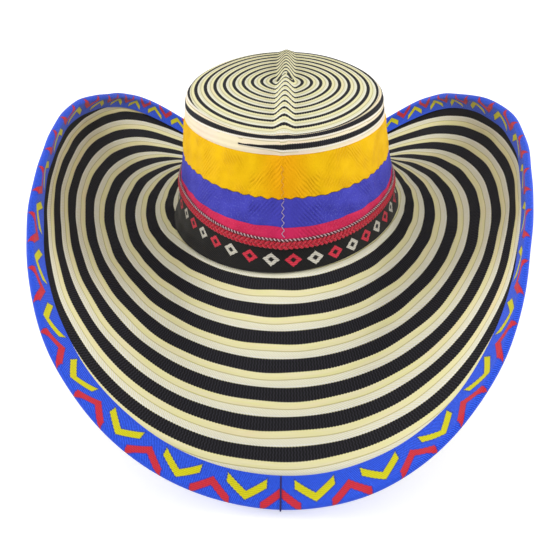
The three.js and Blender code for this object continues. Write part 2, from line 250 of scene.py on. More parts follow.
def loft(rings, u, v, loop):
    """Joins closed sections into one body. rings is (m, k, 3); u and v give uv at (m + loop, k + 1)."""
    m, k = rings.shape[:2]
    rows = np.arange(m if loop else m - 1)
    i, j = (a.ravel() for a in np.meshgrid(rows, np.arange(k), indexing="ij"))
    i2, j2 = (i + 1) % m, (j + 1) % k
    faces = np.stack([i * k + j, i2 * k + j, i2 * k + j2, i * k + j2], 1)
    corner = np.stack([np.stack([i, j], 1), np.stack([i + 1, j], 1),
                       np.stack([i + 1, j + 1], 1), np.stack([i, j + 1], 1)], 1)
    uv = np.stack([u[corner[..., 0], corner[..., 1]], v[corner[..., 0], corner[..., 1]]], -1)
    if not loop:
        a = np.arange(k // 2 - 1)
        first = np.stack([a, a + 1, k - 2 - a, k - 1 - a], 1)
        last = first[:, ::-1] + (m - 1) * k
        faces = np.vstack([faces, first, last])
        uv = np.concatenate([uv, np.zeros((2 * len(a), 4, 2)) + (u[0, 0], v[0, 0])])
    points = rings.reshape(-1, 3)
    p = points[faces]
    volume = np.einsum("ij,ij->", p[:, 0], np.cross(p[:, 1], p[:, 2]) + np.cross(p[:, 2], p[:, 3]))
    if volume < 0:
        faces, uv = faces[:, ::-1], uv[:, ::-1]
    return points, faces, uv


def lengths(points):
    """Distance along a line of points, from its first one."""
    return np.concatenate([[0], np.cumsum(np.linalg.norm(np.diff(points, axis=0), axis=1))])


def ripple(x, *waves):
    """A slow unevenness: a sum of (amplitude, period, phase) waves."""
    return sum(a * np.sin(TAU * x / period + phase) for a, period, phase in waves)


def doubled(values):
    """Repeats a section's across values for its far face and closes the section."""
    return np.hstack([values, values[:, ::-1], values[:, :1]])


def tube(path, radius, sides, loop, flat=1.0, up=(0, 0, 1)):
    """A strand of round or flattened section along a path of points."""
    ahead = (np.roll(path, -1, 0) - np.roll(path, 1, 0)) if loop else np.gradient(path, axis=0)
    ahead /= np.linalg.norm(ahead, axis=1)[:, None]
    side = np.cross(ahead, np.array(up, float))
    side /= np.linalg.norm(side, axis=1)[:, None]
    top = np.cross(side, ahead)
    angle = TAU * np.arange(sides) / sides
    rings = (path[:, None] + radius * flat * np.cos(angle)[None, :, None] * side[:, None]
             + radius * np.sin(angle)[None, :, None] * top[:, None])
    along = lengths(np.vstack([path, path[:1]]) if loop else path)
    u = np.repeat(along[:, None], sides + 1, 1)
    v = np.repeat(np.linspace(0, TAU * radius, sides + 1)[None], len(along), 0)
    return loft(rings, u, v, loop)


def joined(parts):
    """One set of points, faces and uv from several."""
    points, faces, uvs, base = [], [], [], 0
    for p, f, uv in parts:
        points.append(p)
        faces.append(f + base)
        uvs.append(uv)
        base += len(p)
    return np.vstack(points), np.vstack(faces), np.concatenate(uvs)


# ------------------------------------------------------------- materials
def colour(code):
    """An sRGB hex value as linear light, with full alpha."""
    parts = [int(code[i:i + 2], 16) / 255 for i in (1, 3, 5)]
    return tuple(c / 12.92 if c <= 0.04045 else ((c + 0.055) / 1.055) ** 2.4 for c in parts) + (1.0,)


def add(tree, kind, *values, **settings):
    """Adds one node with its settings; each value is a socket to link or a number to set."""
    node = tree.nodes.new("ShaderNode" + kind)
    for key, value in settings.items():
        setattr(node, key, value)
    for i, value in enumerate(values):
        if isinstance(value, bpy.types.NodeSocket):
            tree.links.new(value, node.inputs[i])
        elif value is not None:
            node.inputs[i].default_value = value
    return node.outputs[0]


def surface(name, base, height, depth, roughness, specular=0.3, sheen=0.0):
    """Ends a material: base colour and relief in millimetres into a Principled shader."""
    tree = base.id_data
    shader = tree.nodes["Principled BSDF"]
    tree.links.new(base, shader.inputs["Base Color"])
    bump = add(tree, "Bump", 1.0, depth * MM)
    tree.links.new(height, bump.node.inputs["Height"])
    tree.links.new(bump, shader.inputs["Normal"])
    shader.inputs["Roughness"].default_value = roughness
    shader.inputs["Specular IOR Level"].default_value = specular
    shader.inputs["Sheen Weight"].default_value = sheen
    return bpy.data.materials[name]


def new_tree(name):
    material = bpy.data.materials.new(name)
    material.use_nodes = True
    return material.node_tree


def woven_coordinates(tree):
    """Distance along and across the woven strip, in millimetres."""
    uv = add(tree, "UVMap", uv_map="across_and_along")
    parts = add(tree, "SeparateXYZ", uv).node
    return uv, parts.outputs[0], parts.outputs[1]


def plaited_palm(name, pitch, black, rib, wraps, yellowish, whitish):
    """Split cane-palm leaf, one edge dyed black in mud, plaited flat. The cream is silky
    and slightly streaked; the black half shows cross ribs with a painted highlight along their crests, and
    scalloped edges."""
    t = new_tree(name)
    uv, u, x = woven_coordinates(t)
    if wraps:
        x = add(t, "Math", x, pitch, 0.0, operation="WRAP")
    half_turn = add(t, "Math", u, math.pi / rib, operation="MULTIPLY")
    wave = add(t, "Math", half_turn, operation="SINE")
    scallop = add(t, "Math", wave, operation="ABSOLUTE")
    reach = min(0.42, black * 0.12)
    far = add(t, "Math", scallop, reach, black - reach / 2, operation="MULTIPLY_ADD")
    near = add(t, "Math", scallop, -reach, reach, operation="MULTIPLY_ADD")
    under = add(t, "Math", far, x, operation="SUBTRACT")
    over = add(t, "Math", x, near, operation="SUBTRACT")
    inside = add(t, "Math", under, over, operation="MINIMUM")
    is_black = add(t, "MapRange", inside, -0.12, 0.12, 0.0, 1.0, interpolation_type="SMOOTHSTEP")
    seam = black + SEAM_SHARE * (pitch - black)
    slant = add(t, "Math", x, 1.15, u, operation="MULTIPLY_ADD")
    hatch_angle = add(t, "Math", slant, TAU / (rib * 0.9), operation="MULTIPLY")
    hatch = add(t, "Math", hatch_angle, operation="SINE")
    stretched = add(t, "VectorMath", uv, (0.03, 0.5, 1.0), operation="MULTIPLY")
    streak = add(t, "TexNoise", stretched, None, 1.0, 4.0, 0.55)
    patches = add(t, "TexNoise", add(t, "VectorMath", uv, (0.02, 0.05, 1.0), operation="MULTIPLY"),
                  None, 1.0, 2.0, 0.5)
    tint = add(t, "MapRange", streak, 0.35, 0.68, 0.0, 1.0)
    warm = add(t, "MixRGB", tint, colour(yellowish), colour("#EFE6BC"))
    patch = add(t, "MapRange", patches, 0.55, 0.75, 0.0, 0.55)
    warm = add(t, "MixRGB", patch, warm, colour("#EFD9AE"))
    hatch_tint = add(t, "MapRange", hatch, 0.0, 1.0, 0.0, 0.8)
    hatch_colour = add(t, "MixRGB", 0.22, colour(yellowish), colour("#A89C5C"))
    pale = add(t, "MixRGB", hatch_tint, colour(whitish), hatch_colour)
    second = add(t, "MapRange", x, seam, seam + 0.5, 0.0, 1.0, interpolation_type="SMOOTHSTEP")
    cream = add(t, "MixRGB", second, warm, pale)
    to_edge = add(t, "Math", x, pitch - 0.9, operation="GREATER_THAN")
    edge = add(t, "Math", to_edge, scallop, operation="MULTIPLY")
    cream = add(t, "MixRGB", edge, cream, colour("#F6F4E8"))
    from_seam = add(t, "Math", x, seam, 0.32, operation="COMPARE")
    cream = add(t, "MixRGB", add(t, "Math", from_seam, 0.6, operation="MULTIPLY"), cream, colour("#A89C5C"))
    double = add(t, "Math", half_turn, 2.0, operation="MULTIPLY")
    stitch = add(t, "Math", add(t, "Math", x, TAU / 2.9, operation="MULTIPLY"), operation="SINE")
    offset = add(t, "Math", stitch, 0.9, math.pi / 2, operation="MULTIPLY_ADD")
    ribs = add(t, "Math", add(t, "Math", double, offset, operation="ADD"), operation="SINE")
    fleck = add(t, "TexNoise", add(t, "VectorMath", uv, (1.4, 1.1, 1.0), operation="MULTIPLY"),
                None, 1.0, 3.0, 0.6)
    # painted highlight: the black half is lighter along the rib crests, broken up by flecks
    painted_rib_highlight = add(t, "Math", add(t, "MapRange", ribs, -0.2, 1.0, 0.0, 1.0), fleck, operation="MULTIPLY")
    dark = add(t, "MixRGB", painted_rib_highlight, colour("#0D0C10"), colour("#3A3842"))
    base = add(t, "MixRGB", is_black, cream, dark)
    rib_height = add(t, "Math", ribs, is_black, operation="MULTIPLY")
    pale_part = add(t, "Math", 1.0, is_black, operation="SUBTRACT")
    hatch_share = add(t, "Math", second, 0.35, operation="MULTIPLY")
    hatch_height = add(t, "Math", hatch, hatch_share, operation="MULTIPLY")
    hatch_height = add(t, "Math", hatch_height, pale_part, operation="MULTIPLY")
    height = add(t, "Math", rib_height, 0.5, hatch_height, operation="MULTIPLY_ADD")
    return surface(name, base, height, 0.22, 0.68, 0.22)


def chevron(t, u, v, pitch, offset, centre, slope, half, reach):
    """Millimetres inside a row of V shapes: a bar that leans off each repeat's middle line."""
    aside = add(t, "Math", add(t, "Math", u, offset, operation="ADD"), pitch / 2, operation="PINGPONG")
    line = add(t, "Math", aside, slope, centre, operation="MULTIPLY_ADD")
    off = add(t, "Math", add(t, "Math", v, line, operation="SUBTRACT"), operation="ABSOLUTE")
    inside = add(t, "Math", half, off, operation="SUBTRACT")
    ahead = add(t, "Math", reach, aside, operation="SUBTRACT")
    return add(t, "Math", inside, ahead, operation="MINIMUM")


def diamond(t, u, v, pitch, offset, centre, half_width, half_height):
    """Millimetres inside a row of diamonds, counted along the strip's length."""
    aside = add(t, "Math", add(t, "Math", u, offset, operation="ADD"), pitch / 2, operation="PINGPONG")
    off = add(t, "Math", add(t, "Math", v, centre, operation="SUBTRACT"), operation="ABSOLUTE")
    share = add(t, "Math", off, half_width / half_height, aside, operation="MULTIPLY_ADD")
    return add(t, "Math", half_width, share, operation="SUBTRACT")


def figured_weave(name, ground, ground_dark, yarn, rib_share, figures):
    """Ribbon woven on a narrow loom: a speckled ground, darker between its slanting ribs
    as painted shade, with figures laid in as raised yarn floats whose edges step from pick
    to pick. Each figure is a row of shapes, a bright and a shaded colour, and the colour of its outline."""
    t = new_tree(name)
    uv, u, v = woven_coordinates(t)
    cell = add(t, "VectorMath", uv, (1.0 / yarn, 1.0 / yarn, 1.0), operation="MULTIPLY")
    speckle = add(t, "TexNoise", cell, None, 1.0, 2.0, 0.6)
    # painted shade: the ground darkens in the hollows between the slanting ribs, mixed with the yarn's own
    # speckle
    slant = add(t, "Math", v, 0.6, u, operation="MULTIPLY_ADD")
    rib = add(t, "Math", add(t, "Math", slant, TAU / yarn, operation="MULTIPLY"), operation="SINE")
    rib_shade_and_speckle = add(t, "Math", rib, rib_share, speckle, operation="MULTIPLY_ADD")
    tint = add(t, "MapRange", rib_shade_and_speckle, 0.3, 0.75, 0.0, 1.0)
    base = add(t, "MixRGB", tint, colour(ground_dark), colour(ground))
    height = add(t, "Math", rib, 0.25, operation="MULTIPLY")
    across = add(t, "Math", add(t, "Math", v, TAU / yarn, operation="MULTIPLY"), operation="SINE")
    step = add(t, "Math", rib, 0.22, operation="MULTIPLY")
    for shape, values, bright, shade, rim in figures:
        inside = add(t, "Math", shape(t, u, v, *values), step, operation="ADD")
        rim_mask = add(t, "MapRange", inside, -0.75, -0.35, 0.0, 1.0)
        base = add(t, "MixRGB", add(t, "Math", rim_mask, 0.75, operation="MULTIPLY"), base, colour(rim))
        mask = add(t, "MapRange", inside, -0.15, 0.15, 0.0, 1.0)
        float_tint = add(t, "MapRange", across, -1.0, 1.0, 0.0, 0.6)
        yarn_colour = add(t, "MixRGB", float_tint, colour(bright), colour(shade))
        base = add(t, "MixRGB", mask, base, yarn_colour)
        height = add(t, "Math", mask, add(t, "Math", across, 0.2, 0.9, operation="MULTIPLY_ADD"),
                     height, operation="MULTIPLY_ADD")
    return surface(name, base, height, 0.25, 0.72, 0.25, 0.15)


def dyed_weave(name, bright, deep, glow, fleck, fleck_share, edge):
    """Dyed palm fabric, pressed in slanting folds, with painted shade along the folds. Fine flecks show each
    strand; near the front join the colour is warmer, where the cloth lies double."""
    t = new_tree(name)
    uv, u, v = woven_coordinates(t)
    fine = add(t, "TexNoise", add(t, "VectorMath", uv, (0.9, 0.9, 1.0), operation="MULTIPLY"),
               None, 1.0, 3.0, 0.7)
    broad = add(t, "TexNoise", add(t, "VectorMath", uv, (0.05, 0.07, 1.0), operation="MULTIPLY"),
                None, 1.0, 3.0, 0.5)
    lane = add(t, "Math", add(t, "Math", u, 1 / 26.0, operation="MULTIPLY"), 1.0, operation="PINGPONG")
    slope = add(t, "Math", lane, 30.0, operation="MULTIPLY")
    fold = add(t, "Math", slope, v, operation="ADD")
    fold = add(t, "Math", add(t, "Math", fold, TAU / 3.4, operation="MULTIPLY"), operation="SINE")
    fold = add(t, "Math", fold, add(t, "MapRange", broad, 0.42, 0.62, 0.0, 1.0), operation="MULTIPLY")
    tint = add(t, "MapRange", broad, 0.3, 0.7, 0.0, 1.0)
    base = add(t, "MixRGB", tint, colour(bright), colour(deep))
    speck = add(t, "MapRange", fine, 0.55, 0.7, 0.0, fleck_share)
    base = add(t, "MixRGB", speck, base, colour(fleck))
    # painted shade: the colour deepens along the folds
    painted_fold_shade = add(t, "MapRange", fold, 0.2, 1.0, 0.0, 0.22)
    base = add(t, "MixRGB", painted_fold_shade, base, colour(deep))
    from_front = add(t, "Math", u, operation="ABSOLUTE")
    near = add(t, "MapRange", from_front, 2.0, 26.0, 0.8, 0.0, interpolation_type="SMOOTHSTEP")
    base = add(t, "MixRGB", near, base, colour(glow))
    jag = add(t, "Math", fine, 0.9, 0.0, operation="MULTIPLY_ADD")
    at_edge = add(t, "Math", v, jag, operation="LESS_THAN")
    base = add(t, "MixRGB", add(t, "Math", at_edge, 0.85 if edge else 0.0, operation="MULTIPLY"),
               base, colour("#3A2A18"))
    height = add(t, "Math", fold, 0.6, fine, operation="MULTIPLY_ADD")
    return surface(name, base, height, 0.3, 0.8, 0.12, 0.05)


def spun_yarn(name, bright, deep, ply):
    """Twisted cotton or acrylic yarn: slanting plies, with painted shade in the deep colour between them."""
    t = new_tree(name)
    uv, u, v = woven_coordinates(t)
    slant = add(t, "Math", v, 1.2, u, operation="MULTIPLY_ADD")
    plies = add(t, "Math", add(t, "Math", slant, TAU / ply, operation="MULTIPLY"), operation="SINE")
    fuzz = add(t, "TexNoise", uv, None, 2.5, 3.0, 0.6)
    mixed = add(t, "Math", plies, 0.4, fuzz, operation="MULTIPLY_ADD")
    # painted shade: the deep colour lies in the hollows between the plies, the bright one on their crests
    base = add(t, "MixRGB", add(t, "MapRange", mixed, 0.0, 0.9, 0.0, 1.0), colour(deep), colour(bright))
    return surface(name, base, plies, 0.12, 0.8, 0.2, 0.25)


def undyed_straw(name):
    """Undyed plaited palm inside the crown: a close basket weave of flat strands."""
    t = new_tree(name)
    place = add(t, "TexCoord").node.outputs["Object"]
    weave = add(t, "TexVoronoi", place, None, 420.0)
    stain = add(t, "TexNoise", place, None, 40.0, 3.0, 0.5)
    stained = add(t, "MapRange", stain, 0.3, 0.7, 0.0, 1.0)
    base = add(t, "MixRGB", stained, colour("#E6E0B6"), colour("#D2C68E"))
    base = add(t, "MixRGB", add(t, "MapRange", weave, 0.3, 0.7, 0.0, 0.35), base, colour("#9C8C58"))
    return surface(name, base, weave, 0.2, 0.7)


CREAM, PALE = "#ECE6A6", "#F0EDDC"
brim_palm = plaited_palm("plaited palm braid", PITCH, PITCH * BLACK_SHARE, 2.0, False, CREAM, PALE)
TIP_PITCH = 8.0                   # repeat of the narrow braid on the tip
SHOULDER_PITCH = 7.2              # and of the bleached braid on the shoulder
SHOULDER_BLACK = 3.8
tip_palm = plaited_palm("narrow plaited palm braid", TIP_PITCH, 2.9, 1.7, True, "#E8E4AE", "#EBE8CE")
shoulder_palm = plaited_palm("bleached palm braid", SHOULDER_PITCH, SHOULDER_BLACK, 1.8, True,
                             "#F2DFC8", "#F0E5D4")
yellow_cloth = dyed_weave("yellow dyed palm cloth", "#F6C400", "#E8B000", "#F8AC00", "#FFD420", 0.3, True)
blue_cloth = dyed_weave("blue dyed palm cloth", "#4B4BC0", "#3B39A4", "#4644B6", "#7A80D2", 0.6, False)
red_cloth = dyed_weave("red dyed palm cloth", "#E0305E", "#C4244E", "#D42A60", "#F06A8C", 0.45, False)
red_yarn = spun_yarn("red acrylic yarn", "#F03048", "#A01226", 1.1)
pale_cord = spun_yarn("pale pink cotton cord", "#F4D8DA", "#B88A92", 1.0)
dark_cord = spun_yarn("maroon cotton cord", "#6E1C30", "#2C0C18", 1.0)
seam_thread = spun_yarn("lilac sewing thread", "#D8C4DC", "#9C88B4", 0.8)
gold_thread = spun_yarn("gold sewing thread", "#FFC21E", "#E8A000", 0.8)
join_thread = spun_yarn("plum whipping thread", "#3A2A8C", "#1E1040", 0.8)
sweat_thread = spun_yarn("natural sewing thread", "#EDE6D2", "#B8AE94", 0.8)
sweat_cloth = figured_weave("black cotton sweatband twill", "#3A352F", "#1E1B18", 0.9, 0.3, [])
straw = undyed_straw("undyed palm straw")


# ------------------------------------------------------------- brim
def braid_start(turn):
    """Distance of the braid's inner line out from the break; it grows a pitch each turn."""
    return PITCH * (turn / TAU + round_hat(BRAID_START, turn))


def strip_limits(turn, width):
    """Inner and outer distance of the strip, and of the whole uncut strip's inner line."""
    start = braid_start(turn)
    phi = azimuth(turn)
    climb = (round_hat(HATBAND_LOW, turn) - SEAT - break_height(phi)) / np.sin(-wall_lean(phi))
    edge = width + BINDING_WIDTH - BINDING_THICKNESS - BINDING_CLEARANCE
    inner = np.maximum(start + STRIP_GAP / 2, -np.maximum(climb, 0))
    outer = np.minimum(start + PITCH - STRIP_GAP / 2, edge)
    return inner, outer, start


NARROWEST_STRIP = 2
THINNEST_END = 0.3                # a cut turn's end is drawn down to this width


def strip_runs():
    """Ranges of turn where the strip is wide enough, each at most once round the hat."""
    turns = TAU * np.arange(-MOST_TURNS * FACETS, MOST_TURNS * FACETS + 1) / FACETS
    inner, outer, _ = strip_limits(turns, round_hat(BRIM_WIDTH, turns))
    whole = outer - inner >= NARROWEST_STRIP
    runs, run = [], []
    for n, ok in enumerate(whole):
        i = n - MOST_TURNS * FACETS
        if ok:
            run.append(i)
        if run and (not ok or i % FACETS == 0):
            if len(run) > 2:
                runs.append((run[0], run[-1]))
            run = [i] if ok else []
    return runs


ROUND_STEPS = 760                 # columns once round the hat: about 2 mm at the edge
STRIP_STEPS = 26                  # rows across one strip


def braid_relief(x):
    """Height of the strip's top over its plate: a flat black half, then two rolled cream ones."""
    black = PITCH * BLACK_SHARE
    seam = black + SEAM_SHARE * (PITCH - black)
    first = np.clip((x - black) / (seam - black), 0, 1)
    second = np.clip((x - seam) / (PITCH - seam), 0, 1)
    inner_roll = 0.42 * np.sin(math.pi * first) ** 0.7 * (x < seam)
    outer_roll = 0.34 * np.sin(math.pi * second) ** 0.7 * (x >= seam)
    dark = 0.12 * np.sin(math.pi * np.clip(x / black, 0, 1)) ** 0.5 * (x < black)
    return inner_roll + outer_roll + dark


def swell(turn, s):
    """The hand-sewn brim never lies quite flat: low swells that close round the hat."""
    return (0.3 * np.sin(11 * turn + s / 14) + 0.22 * np.sin(19 * turn - s / 9 + 2.1)
            + 0.12 * np.sin(31 * turn + s / 6 + 4))


# Length of the braid's middle line from its inner end, so the plait runs on from turn to turn.
whole_turn = np.linspace(-MOST_TURNS * TAU, MOST_TURNS * TAU, 2 * MOST_TURNS * 400)
NEAREST_MIDDLE, FARTHEST_MIDDLE = -8, 175
whole_middle = np.clip(braid_start(whole_turn) + PITCH / 2, NEAREST_MIDDLE, FARTHEST_MIDDLE)[:, None]
BRAID_LENGTH = lengths(sheet_points(whole_turn, whole_middle, 0 * whole_middle)[:, 0])
OVERRUN = 8                       # facets a cut turn may run on where the worn brim is wider


def braid_turn(number, first, last):
    """One turn of the braid between two facets, cut off where the hatband or the binding covers it."""
    low = max(first - OVERRUN, math.floor(first / FACETS) * FACETS)
    high = min(last + OVERRUN, math.ceil(last / FACETS) * FACETS)
    turns = np.linspace(TAU * low / FACETS, TAU * high / FACETS,
                        int(ROUND_STEPS * (high - low) / FACETS) + 2)
    inner, outer, start = strip_limits(turns, brim_width(turns))
    keep = outer - inner > THINNEST_END
    turns, inner, outer, start = turns[keep], inner[keep], outer[keep], start[keep]
    share = np.linspace(0, 1, STRIP_STEPS + 1)
    s = inner[:, None] + (outer - inner)[:, None] * share
    along = np.interp(turns, whole_turn, BRAID_LENGTH)
    wobble = ripple(turns[:, None] * 150, (0.22, 61, 1.0), (0.16, 37, 0.3)) * np.sin(math.pi * share) ** 0.3
    x = s - start[:, None] + wobble
    lift = swell(turns[:, None], s)
    free = np.clip((s - 0.5) / 4, 0, 1)       # pressed flat where the hatband covers it
    top = sheet_points(turns, s, (BRAID_THICKNESS / 2 + braid_relief(x) + lift) * free - 0.2 * (1 - free))
    bottom = sheet_points(turns, s, -BRAID_THICKNESS / 2 + (lift - 0.5 * braid_relief(x)) * free)
    rings = np.concatenate([top, bottom[:, ::-1]], 1)
    u = np.repeat(along[:, None], rings.shape[1] + 1, 1)
    points, faces, uv = loft(rings, u, doubled(x), False)
    node = f"brim_braid_turn_{number}"
    make_piece(node + ".plaited", points, faces, uv, brim_palm, "palm_braid", node)


for number, (first, last) in enumerate(strip_runs(), 1):
    braid_turn(number, first, last)


# ------------------------------------------------------------- ribbon binding
def folded_section(turn, leaf_steps, fold_steps):
    """Distances and heights of the folded ribbon's outer face, with lengths along it."""
    half = BRAID_THICKNESS / 2 + BINDING_CLEARANCE
    skin = half + BINDING_THICKNESS
    inner = brim_width(turn)[:, None]
    leaf = np.linspace(0, BINDING_WIDTH - skin, leaf_steps + 1)
    fold = np.linspace(math.pi / 2, -math.pi / 2, fold_steps + 1)[1:-1]
    outs = []
    for radius in (skin, half):
        s = np.concatenate([leaf, leaf[-1] + radius * np.cos(fold), leaf[::-1]])
        n = np.concatenate([leaf * 0 + radius, radius * np.sin(fold), leaf * 0 - radius])
        outs.append((inner + s, np.repeat(n[None], len(turn), 0)))
    s, n = outs[0][0][0] - inner[0], outs[0][1][0]
    across = lengths(np.stack([s, n], 1))
    return outs, across


BINDING_STEPS = 1300
JOIN_HALF = 0.45                  # half the gap between the ribbon's two ends
CHEVRON_LENGTH = 41.85            # of one woven repeat, before it is made to come out even
THREAD_OFFSET = 0.25              # of each whipping thread from the join
THREAD_PINCH = 1.1                # how far the threads draw over the fold
ring_turn = np.linspace(0, TAU, BINDING_STEPS + 1)
middle = sheet_points(ring_turn, brim_width(ring_turn)[:, None] + BINDING_WIDTH / 2,
                      np.zeros((BINDING_STEPS + 1, 1)))[:, 0]
binding_length = lengths(middle)
edge_per_radian = binding_length[1] / ring_turn[1]
CHEVRONS = round(binding_length[-1] / CHEVRON_LENGTH)
CHEVRON_PITCH = binding_length[-1] / CHEVRONS

ribbon_weave = figured_weave(
    "woven binding ribbon", "#3166FA", "#1A40C6", 1.2, 0.25,
    [(chevron, (CHEVRON_PITCH, 0.0, 10.2, 0.8, 2.8, 11.8), "#DE2C38", "#A81E42", "#3A2CA4"),
     (chevron, (CHEVRON_PITCH, CHEVRON_PITCH / 2, 14.0, -0.7, 2.7, 12.4), "#E4DE06", "#B8AC06", "#10327C")])

join_turn = JOIN_HALF / edge_per_radian
ring_turn = np.linspace(join_turn, TAU - join_turn, BINDING_STEPS)
(outer_face, inner_face), across = folded_section(ring_turn, 14, 8)
rings = []
for (s, n), order in ((outer_face, 1), (inner_face, -1)):
    s, n = s[:, ::order], n[:, ::order]
    rings.append(sheet_points(ring_turn, s, n + swell(ring_turn[:, None], s)))
rings = np.concatenate(rings, 1)
along = np.interp(ring_turn, np.linspace(0, TAU, BINDING_STEPS + 1), binding_length)
v = np.concatenate([across, across[::-1], across[:1]])
u = np.repeat(along[:, None], len(v), 1)
v = np.repeat(v[None], len(along), 0)
points, faces, uv = loft(rings, u, v, False)
binding = make_piece("edge_binding.ribbon", points, faces, uv, ribbon_weave, "binding_ribbon",
                     "edge_binding")

wraps = []
for offset in (-THREAD_OFFSET, THREAD_OFFSET):
    turn = np.array([offset / edge_per_radian])
    (outer_face, _), _ = folded_section(turn, 10, 8)
    s, n = outer_face
    pinch = THREAD_PINCH * np.exp(-(n / 1.6) ** 2)
    wraps.append(tube(sheet_points(turn, s + pinch, n * 0.92)[0], 0.3, 8, False, up=(1, 0, 0)))
make_piece("binding_join_whipping.threads", *joined(wraps), join_thread, "whipping_thread",
           "binding_join_whipping")


# ------------------------------------------------------------- crown bands
WALL_STEPS = 900
TURN = np.linspace(-math.pi, math.pi, WALL_STEPS + 1)[:-1]
closed_turn = np.append(TURN, math.pi)
WAIST_HEIGHT = 40.0               # the wall's length is taken here, near its middle
waist = wall_points(closed_turn[:, None], np.full((WALL_STEPS + 1, 1), WAIST_HEIGHT), 0)[:, 0]
FROM_FRONT = lengths(waist)
CROWN_LENGTH = FROM_FRONT[-1]
FROM_FRONT = FROM_FRONT - CROWN_LENGTH / 2         # millimetres along the wall from the front join

hatband_bottom = round_hat(HATBAND_LOW, TURN)
hatband_top = hatband_bottom + HATBAND_WIDTH
trim_top = hatband_top + SEAT + TRIM_WIDTH
cord_middle = trim_top + SEAT + CORD_DIAMETER / 2


def band(name, low, high, inset, thickness, rows, relief, material, slot, node):
    """A closed band round the crown wall between two heights, with relief on its face."""
    share = np.linspace(0, 1, rows + 1)
    z = low[:, None] + (high - low)[:, None] * share
    v = z - low[:, None]
    lift = relief(FROM_FRONT[:-1, None], z, share)
    face = wall_points(TURN[:, None], z, inset - lift)
    back = wall_points(TURN[:, None], z, inset + thickness)
    rings = np.concatenate([face, back[:, ::-1]], 1)
    u = np.repeat(FROM_FRONT[:, None], 2 * rows + 3, 1)
    points, faces, uv = loft(rings, u, doubled(np.vstack([v, v[:1]])), True)
    piece = make_piece(name, points, faces, uv, material, slot, node)
    return piece


def rolled_edges(share, drop):
    """Both edges of a band turn in a little."""
    return -drop * (np.abs(2 * share - 1) ** 10)


def cloth_relief(u, z, share):
    close = TAU / CROWN_LENGTH
    waves = (0.28 * np.sin(13 * close * u + z / 9) + 0.2 * np.sin(29 * close * u - z / 6 + 1)
             + 0.12 * np.sin(47 * close * u + z / 3.4))
    return waves + rolled_edges(share, 0.35)


BAND_THICKNESS = 0.9
TOOTH_LENGTH = 9.4                # of the yellow band's cut lower edge
teeth = CROWN_LENGTH / round(CROWN_LENGTH / TOOTH_LENGTH)
saw = (FROM_FRONT[:-1] / teeth + 0.3 * np.sin(5 * TURN)) % 1
jagged = (0.9 + 0.3 * np.sin(7 * TURN + 1)) * (np.floor(np.abs(2 * saw - 1) * 4) / 3 - 0.5)
yellow_low = round_hat(BLUE_TOP, TURN) + jagged
blue_low = round_hat(RED_TOP, TURN) + 0.25 * np.sin(9 * TURN) + 0.15 * np.sin(23 * TURN)
yellow_top = YELLOW_TOP + 0.8 + 2.2 * np.cos(2 * TURN)
band("yellow_band.cloth", yellow_low, yellow_top, SEAT, BAND_THICKNESS, 30,
     cloth_relief, yellow_cloth, "yellow_weave", "yellow_band")
band("blue_band.cloth", blue_low, yellow_low - 0.1, SEAT, BAND_THICKNESS, 22,
     cloth_relief, blue_cloth, "blue_weave", "blue_band")
band("red_band.cloth", trim_top - 0.2, blue_low - 0.1, SEAT, BAND_THICKNESS, 14,
     cloth_relief, red_cloth, "red_weave", "red_band")

DIAMONDS = 40
DIAMOND_STEP = CROWN_LENGTH / DIAMONDS
DIAMOND_SHIFT = 2.2               # the ends meet a little off the front
DIAMOND_MIDDLE = 6.6              # up from the hatband's lower edge
RED_SHIFT, WHITE_SHIFT = DIAMOND_STEP / 2 - DIAMOND_SHIFT, -DIAMOND_STEP / 2 - DIAMOND_SHIFT
hatband_weave = figured_weave(
    "woven hatband", "#14110F", "#060505", 1.3, 0.25,
    [(diamond, (2 * DIAMOND_STEP, WHITE_SHIFT, DIAMOND_MIDDLE, 5.6, 4.7), "#E2DDCE", "#9E9888", "#0A0908"),
     (diamond, (2 * DIAMOND_STEP, RED_SHIFT, DIAMOND_MIDDLE, 5.6, 4.7), "#E8384C", "#A01A30", "#0A0908"),
     (diamond, (DIAMOND_STEP, RED_SHIFT, DIAMOND_MIDDLE, 1.9, 1.5), "#14110E", "#0A0908", "#0A0908")])
HATBAND_STEPS = 24
HATBAND_FOOT = 1.0                # how far the hatband's lower edge lies out on the brim
HATBAND_SAG = 0.9                 # and how much farther where it has slipped down
HATBAND_FLARE = 2.0               # how far it stands off the straw at its foot
FLARE_REACH = 9                   # up the wall from the break
fall = np.sin(-wall_lean(azimuth(TURN)))
height_over = hatband_bottom - break_height(azimuth(TURN))
foot_share = np.linspace(0, 1, HATBAND_STEPS + 1)
top_s = -(height_over + HATBAND_WIDTH) / fall
foot_s = HATBAND_FOOT + HATBAND_SAG * lobe(TURN, 102, 28)
s = top_s[:, None] + (foot_s - top_s)[:, None] * foot_share
flare = np.clip((s + FLARE_REACH) / FLARE_REACH, 0, 1)
flare = HATBAND_FLARE * flare * flare * (3 - 2 * flare)
ruffle = 0.15 * np.sin(23 * TURN)[:, None]
face = sheet_points(TURN, s, flare + ruffle)
back = sheet_points(TURN, s, flare - 1.1 - 0.6 * (s > 0))
face[..., 0] -= 0.2
rings = np.concatenate([face, back[:, ::-1]], 1)
v = -(height_over - 1.0)[:, None] / fall[:, None] - s
u = np.repeat(FROM_FRONT[:, None], 2 * HATBAND_STEPS + 3, 1)
points, faces, uv = loft(rings, u, doubled(np.vstack([v, v[:1]])), True)
hatband = make_piece("hatband.weave", points, faces, uv, hatband_weave, "hatband_weave", "hatband")


def wall_strand(height, inset, radius, sides, flat=1.0):
    """A strand that goes once round the wall at the given heights and insets."""
    path = wall_points(FINE[:, None], height[:, None], inset[:, None])[:, 0]
    return tube(path, radius, sides, True, flat)


